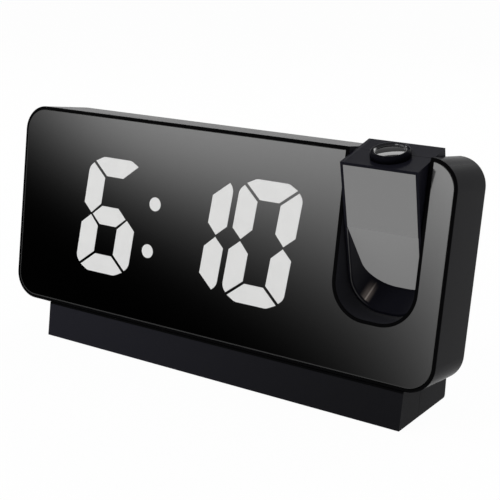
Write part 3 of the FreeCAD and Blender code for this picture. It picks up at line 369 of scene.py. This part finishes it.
def lit_guide(name):
    """Milky light guide, lit from behind."""
    finish = Finish(name)
    patch = finish.noise(160.0)
    colour = finish.blend(patch, (0.53, 0.53, 0.525), (0.57, 0.57, 0.565))
    finish.set(Base_Color=colour, Roughness=0.35 + patch * 0.05, Emission_Color=colour, Emission_Strength=0.4)
    return finish


# Finishes of the parts inside and behind


def white_moulding(name):
    """Plain white moulding that throws the lamps' light forward."""
    finish = Finish(name)
    patch = finish.noise(90.0)
    colour = finish.blend(patch, (0.76, 0.76, 0.75), (0.82, 0.82, 0.81))
    finish.set(Base_Color=colour, Roughness=0.45 + patch * 0.1)
    return finish


def board_green(name):
    """Solder mask with faint copper tracks under it."""
    finish = Finish(name)
    track = finish.node("ShaderNodeTexBrick", out="Fac", Vector=finish.place, Scale=90.0, Mortar_Size=0.06)
    colour = finish.blend(track, (0.012, 0.09, 0.035), (0.03, 0.17, 0.07))
    finish.set(Base_Color=colour, Roughness=0.3 + track * 0.1)
    return finish


def metal(name, dark, pale, roughness):
    """Metal with fine streaks between two greys."""
    finish = Finish(name)
    streak = finish.noise(900.0, 3.0)
    finish.set(Base_Color=finish.blend(streak, (dark,) * 3, (pale,) * 3), Metallic=1.0)
    finish.set(Roughness=roughness + (streak - 0.5) * 0.12)
    return finish


def rubber(name):
    """Dull soft rubber with a fine grain."""
    finish = Finish(name)
    grain = finish.noise(1500.0)
    finish.set(Base_Color=finish.blend(grain, (0.014,) * 3, (0.024,) * 3), Roughness=0.75 + grain * 0.1)
    finish.set(Specular_IOR_Level=0.3)
    finish.bump(grain, 0.3, 0.05 * MM)
    return finish


def clear_resin(name):
    """Yellowish resin of the lamps."""
    finish = Finish(name)
    patch = finish.noise(400.0)
    finish.set(Base_Color=finish.blend(patch, (0.8, 0.8, 0.7), (0.9, 0.9, 0.8)), Roughness=0.15 + patch * 0.1)
    return finish


FINISHES = {
    "housing": housing_black("housing_black"),
    "arm_case": arm_black("arm_black"),
    "button": moulded("button_black", 0.014, roughness=0.35, density=1.2),
    "front_mirror": front_glass("front_glass"),
    "arm_mirror": arm_glass("arm_glass"),
    "light_guide": lit_guide("lit_guide"),
    "white_frame": white_moulding("white_moulding"),
    "circuit_board": board_green("board_green"),
    "lamp": clear_resin("clear_resin"),
    "dark_plastic": moulded("inner_black", 0.012, density=1.2),
    "screw": metal("dark_screw", 0.13, 0.18, 0.35),
    "steel": metal("plated_steel", 0.5, 0.66, 0.25),
    "grip_rubber": rubber("grip_rubber"),
    "collar": collar_black("collar_black"),
    "lens_glass": lens_dark("lens_dark"),
}
# The back and the underside: a coarser, rougher moulding whose paler black is also painted light for the back,
# which the lamps barely reach
BACK_BLACK_GRAIN_AND_PAINTED_LIGHT = moulded("back_black_painted_light", 0.021, roughness=0.46, density=1.3, grain=COARSE_GRAIN)
BACK_NODES = ("rear_cover", "cell_door", "foot_sole")


def dress_nodes():
    """Gives every node the finish of its slot, or the coarser one of the back and the underside, whose paler black
    is partly painted light.
    """
    for part in frame["record"]["subparts"]:
        finish = BACK_BLACK_GRAIN_AND_PAINTED_LIGHT if part["node"] in BACK_NODES else FINISHES[part["material_slot"]]
        materials = frame["nodes"][part["node"]].data.materials
        materials.clear()
        materials.append(finish.material)


# New pieces, shaped about the upright axis and then set in place; their sizes are in millimetres


def as_object(mesh, name):
    """Makes an object of a finished mesh."""
    data = bpy.data.meshes.new(name)
    mesh.to_mesh(data)
    mesh.free()
    made = bpy.data.objects.new(name, data)
    bpy.context.scene.collection.objects.link(made)
    return made


def piece(mesh, name, body, slot, node=None):
    """Makes a piece with a slot's finish, which rides on a body and may stand for a node."""
    made = as_object(mesh, name)
    made.data.materials.append(FINISHES[slot].material)
    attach(made, body)
    if node:
        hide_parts(node)
    return made


def pour(mesh, whole):
    """Adds a mesh to another one and frees it."""
    data = bpy.data.meshes.new("poured")
    mesh.to_mesh(data)
    mesh.free()
    whole.from_mesh(data)
    bpy.data.meshes.remove(data)


def stand(mesh, spot, up):
    """Turns what was made about the upright axis so that it points along up, from a spot."""
    turn = up.to_track_quat("Z", "Y").to_matrix().to_4x4()
    bmesh.ops.transform(mesh, matrix=Matrix.Translation(spot) @ turn, verts=mesh.verts)


def lathe(profile, steps):
    """Spins an outline of (radius, height) corners about the upright axis."""
    mesh = bmesh.new()
    corners = [mesh.verts.new((radius * MM, 0, height * MM)) for radius, height in profile]
    edges = [mesh.edges.new(pair) for pair in zip(corners, corners[1:] + corners[:1])]
    bmesh.ops.spin(mesh, geom=corners + edges, cent=(0, 0, 0), axis=(0, 0, 1), angle=math.tau, steps=steps,
                   use_merge=True)
    bmesh.ops.remove_doubles(mesh, verts=mesh.verts, dist=0.001 * MM)
    bmesh.ops.recalc_face_normals(mesh, faces=mesh.faces)
    for face in mesh.faces:
        face.smooth = True
    return mesh


def soften(mesh, radius, height, offset, segments):
    """Rounds the level ring of edges at a radius and height."""
    near = 0.02 * MM
    ring = [edge for edge in mesh.edges
            if all(abs(end.co.xy.length - radius * MM) < near and abs(end.co.z - height * MM) < near
                   for end in edge.verts)]
    bmesh.ops.bevel(mesh, geom=ring, offset=offset * MM, affect="EDGES", segments=segments, profile=0.5,
                    material=-1, clamp_overlap=True)


def height_above_lens_spot(name):
    """How low and how high a node lies along the arm, counted from the lens's joint."""
    return [(level - LENS_SPOT.dot(ARM_UP)) / MM for level in reach(name, ARM_UP)]


# Collar and lens on the arm's top


def make_collar():
    """The glossy focus collar: a fat rounded ring over a barrel that runs down into the arm."""
    outer, barrel, bore, bore_below = 6.9, 6.0, 4.9, 5.25
    lip_deep, flange_gap, outer_round, lip_round = 1.1, 0.1, 1.0, 0.9
    low, top = height_above_lens_spot("focus_ring")
    flange = height_above_lens_spot("arm_rear_shell")[1] + flange_gap
    ledge = top - lip_deep
    mesh = lathe([(barrel, low), (barrel, flange), (outer, flange), (outer, top), (bore, top), (bore, ledge),
                  (bore_below, ledge), (bore_below, low)], 96)
    soften(mesh, outer, top, outer_round, 8)
    soften(mesh, bore, top, lip_round, 8)
    stand(mesh, LENS_SPOT, ARM_UP)
    piece(mesh, "collar_ring", "focus", "collar", "focus_ring")


def open_rim(mesh):
    return [edge for edge in mesh.edges if edge.is_boundary]


def grow_rim(mesh):
    """Extrudes the open rim and returns its new corners."""
    grown = bmesh.ops.extrude_edge_only(mesh, edges=open_rim(mesh))["geom"]
    return [part for part in grown if isinstance(part, bmesh.types.BMVert)]


def make_lens():
    """The projection lens: a shallow dome on a thin edge."""
    radius, chord, rise = 5.2, 4.85, 0.3
    low, top = height_above_lens_spot("projection_lens")
    dome = (chord * chord + rise * rise) / (2 * rise)
    mesh = bmesh.new()
    bmesh.ops.create_uvsphere(mesh, u_segments=64, v_segments=256, radius=dome * MM)
    bmesh.ops.bisect_plane(mesh, geom=mesh.verts[:] + mesh.edges[:] + mesh.faces[:],
                           plane_co=(0, 0, (dome - rise) * MM), plane_no=(0, 0, 1), clear_inner=True)
    bmesh.ops.scale(mesh, vec=(radius / chord, radius / chord, 1), verts=grow_rim(mesh))
    bmesh.ops.translate(mesh, vec=(0, 0, (low - top + rise) * MM), verts=grow_rim(mesh))
    bmesh.ops.holes_fill(mesh, edges=open_rim(mesh))
    bmesh.ops.translate(mesh, vec=(0, 0, (top - dome) * MM), verts=mesh.verts)
    bmesh.ops.recalc_face_normals(mesh, faces=mesh.faces)
    for face in mesh.faces:
        face.smooth = len(face.verts) < 5
    stand(mesh, LENS_SPOT, ARM_UP)
    piece(mesh, "lens_dome", "focus", "lens_glass", "projection_lens")


# Cross-head screws on the outside


def heads(name, way):
    """The middle of each screw head of a group, on its outer face, and how long the screws are."""
    flush, apart = 0.01 * MM, 6 * MM
    nearest, furthest = reach(name, way)
    outer = [vertex.co.copy() for vertex in frame["nodes"][name].data.vertices
             if furthest - vertex.co.dot(way) < flush]
    middles = []
    while outer:
        pile = [spot for spot in outer if (spot - outer[0]).length < apart]
        outer = [spot for spot in outer if (spot - outer[0]).length >= apart]
        corners = {tuple(round(value, 6) for value in spot) for spot in pile}
        middles.append(sum((Vector(corner) for corner in corners), Vector()) / len(corners))
    return middles, (furthest - nearest) / MM


def carve(target, cutter):
    """Cuts one object out of another for good, and removes it."""
    cut = target.modifiers.new("cut", "BOOLEAN")
    cut.operation = "DIFFERENCE"
    cut.solver = "EXACT"
    cut.use_self = True
    cut.object = cutter
    bpy.context.view_layer.update()
    shaped = bpy.data.meshes.new_from_object(target.evaluated_get(bpy.context.evaluated_depsgraph_get()))
    target.modifiers.remove(cut)
    target.data = shaped
    bpy.data.objects.remove(cutter)


def make_screws(node, body, way):
    """Pan-head screws with a cross recess, whose heads face along way."""
    shank, head, head_tall, flat, flank, flat_round = 1.0, 2.4, 1.0, 1.75, 0.45, 0.25
    blade_long, blade_wide, blade_tall = 2.9, 0.62, 1.3
    middles, long = heads(node, way)
    outline = [(0, -long), (shank, -long), (shank, -head_tall), (head, -head_tall), (head, -flank),
               (flat, 0), (0, 0)]
    whole, crosses = bmesh.new(), bmesh.new()
    for middle in middles:
        screw = lathe(outline, 40)
        soften(screw, flat, 0, flat_round, 3)
        stand(screw, middle, way)
        pour(screw, whole)
        for sizes in ((blade_long, blade_wide, blade_tall), (blade_wide, blade_long, blade_tall)):
            blade = bmesh.new()
            bmesh.ops.create_cube(blade, size=MM)
            bmesh.ops.scale(blade, vec=sizes, verts=blade.verts)
            stand(blade, middle, way)
            pour(blade, crosses)
    screws = piece(whole, node.replace("screws", "cross_screws"), body, "screw", node)
    carve(screws, as_object(crosses, "crosses"))


# Contacts on the tongues of the sockets


def make_contacts():
    """Thin plated strips: under the wide socket's tongue, and over and under the small one's."""
    thick, setback = 0.1, 0.4
    mesh = bmesh.new()
    rows = (("output_socket_tongue", 4, 1.1, 5.6, False), ("input_socket_tongue", 8, 0.4, 4.4, True))
    for name, count, wide, long, both_faces in rows:
        left, right = reach(name, ACROSS)
        end = reach(name, BACKWARD)[1] - (long / 2 + setback) * MM
        low, high = reach(name, UPWARD)
        for place in range(count):
            across = left + (right - left) * (place + 0.5) / count
            for face in (low, high) if both_faces else (low,):
                strip = bmesh.ops.create_cube(mesh, size=MM)["verts"]
                bmesh.ops.scale(mesh, vec=(wide, long, thick), verts=strip)
                bmesh.ops.translate(mesh, vec=(across, end, face), verts=strip)
    turn = Matrix((ACROSS, BACKWARD, UPWARD)).transposed().to_4x4()
    bmesh.ops.transform(mesh, matrix=turn, verts=mesh.verts)
    bmesh.ops.recalc_face_normals(mesh, faces=mesh.faces)
    piece(mesh, "socket_contacts", "base", "steel")


# Studio


def make_floor():
    """A white floor, which keeps the shadow and shows as white in reflections."""
    half_size, seen_share = 12.0, 0.97
    mesh = bmesh.new()
    bmesh.ops.create_grid(mesh, x_segments=1, y_segments=1, size=half_size)
    floor = as_object(mesh, "floor")
    white = Finish("floor_white", Base_Color=(0.9, 0.9, 0.9), Roughness=0.9, Specular_IOR_Level=0.0)
    seen = white.node("ShaderNodeLightPath", out="Is Camera Ray")
    mirrored = white.node("ShaderNodeLightPath", out="Is Glossy Ray")
    clear = white.node("ShaderNodeLightPath", out="Is Transmission Ray")
    glow = white.node("ShaderNodeEmission", Color=(1.0, 1.0, 1.0))
    share = (seen * seen_share).most(mirrored.most(clear))
    shown = white.node("ShaderNodeMixShader", share, Flow(white.shader.outputs[0]), glow)
    feed(white.tree.nodes["Material Output"].inputs["Surface"], shown)
    floor.data.materials.append(white.material)


def make_surround():
    """White to the camera. In reflections it is white near the horizon and dimmer overhead."""
    overhead, scattered = 0.3, 0.5
    world = bpy.data.worlds.new("surround")
    world.use_nodes = True
    bpy.context.scene.world = world
    sky = Tree(world.node_tree)
    seen = sky.node("ShaderNodeLightPath", out="Is Camera Ray")
    mirrored = sky.node("ShaderNodeLightPath", out="Is Glossy Ray")
    clear = sky.node("ShaderNodeLightPath", out="Is Transmission Ray")
    height = sky.node("ShaderNodeSeparateXYZ", sky.node("ShaderNodeTexCoord", out="Generated"), out="Z")
    bright = seen.most(clear).most(mirrored * sky.between(height, 0.15, 0.55, 1.0, overhead))
    backdrop = world.node_tree.nodes["Background"]
    feed(backdrop.inputs["Strength"], bright.most((1.0 - mirrored) * scattered))
    feed(backdrop.inputs["Color"], (1.0, 1.0, 1.0))


def lamp(name, place, sides, power):
    """A soft rectangular lamp that points at the clock's middle."""
    aim = Vector((0, 0, 0.05))
    data = bpy.data.lights.new(name, "AREA")
    data.shape = "RECTANGLE"
    data.size, data.size_y = sides
    data.energy = power
    made = bpy.data.objects.new(name, data)
    bpy.context.scene.collection.objects.link(made)
    made.location = place
    made.rotation_euler = (aim - made.location).to_track_quat("-Z", "Y").to_euler()


def make_camera():
    """Stands where the photograph was taken from."""
    yaw, pitch, roll = 0.565689, 0.253952, 0.037448
    place = Vector((220.243, -331.887, 148.515)) * MM
    ahead = Vector((-math.sin(yaw) * math.cos(pitch), math.cos(yaw) * math.cos(pitch), -math.sin(pitch)))
    level = Vector((math.cos(yaw), math.sin(yaw), 0))
    lift = level.cross(ahead)
    right = level * math.cos(roll) + lift * math.sin(roll)
    up = lift * math.cos(roll) - level * math.sin(roll)
    data = bpy.data.cameras.new("camera")
    data.sensor_width = 36.0
    data.lens = 78.748
    data.clip_start = 0.01
    made = bpy.data.objects.new("camera", data)
    bpy.context.scene.collection.objects.link(made)
    made.matrix_world = Matrix.Translation(place) @ Matrix((right, up, -ahead)).transposed().to_4x4()
    bpy.context.scene.camera = made


dress_nodes()
make_collar()
make_lens()
make_contacts()
make_screws("cover_screws", "base", BACKWARD)
make_screws("arm_screws", "arm", ARM_BACKWARD)
make_screws("foot_sole_screws", "base", Vector((0, 0, -1)))
make_floor()
make_surround()
lamp("key", (-0.5, -1.0, 1.1), (0.5, 0.5), 6.0)
lamp("fill", (-1.0, -0.4, 0.9), (0.8, 0.8), 3.0)
lamp("back", (0.35, 1.2, 0.9), (0.8, 0.8), 6.0)
lamp("strip", LENS_SPOT + Vector((-0.42, 0.60, 0.68)), (0.9, 0.12), 1.2)
make_camera()
bpy.context.scene.view_settings.view_transform = "Standard"
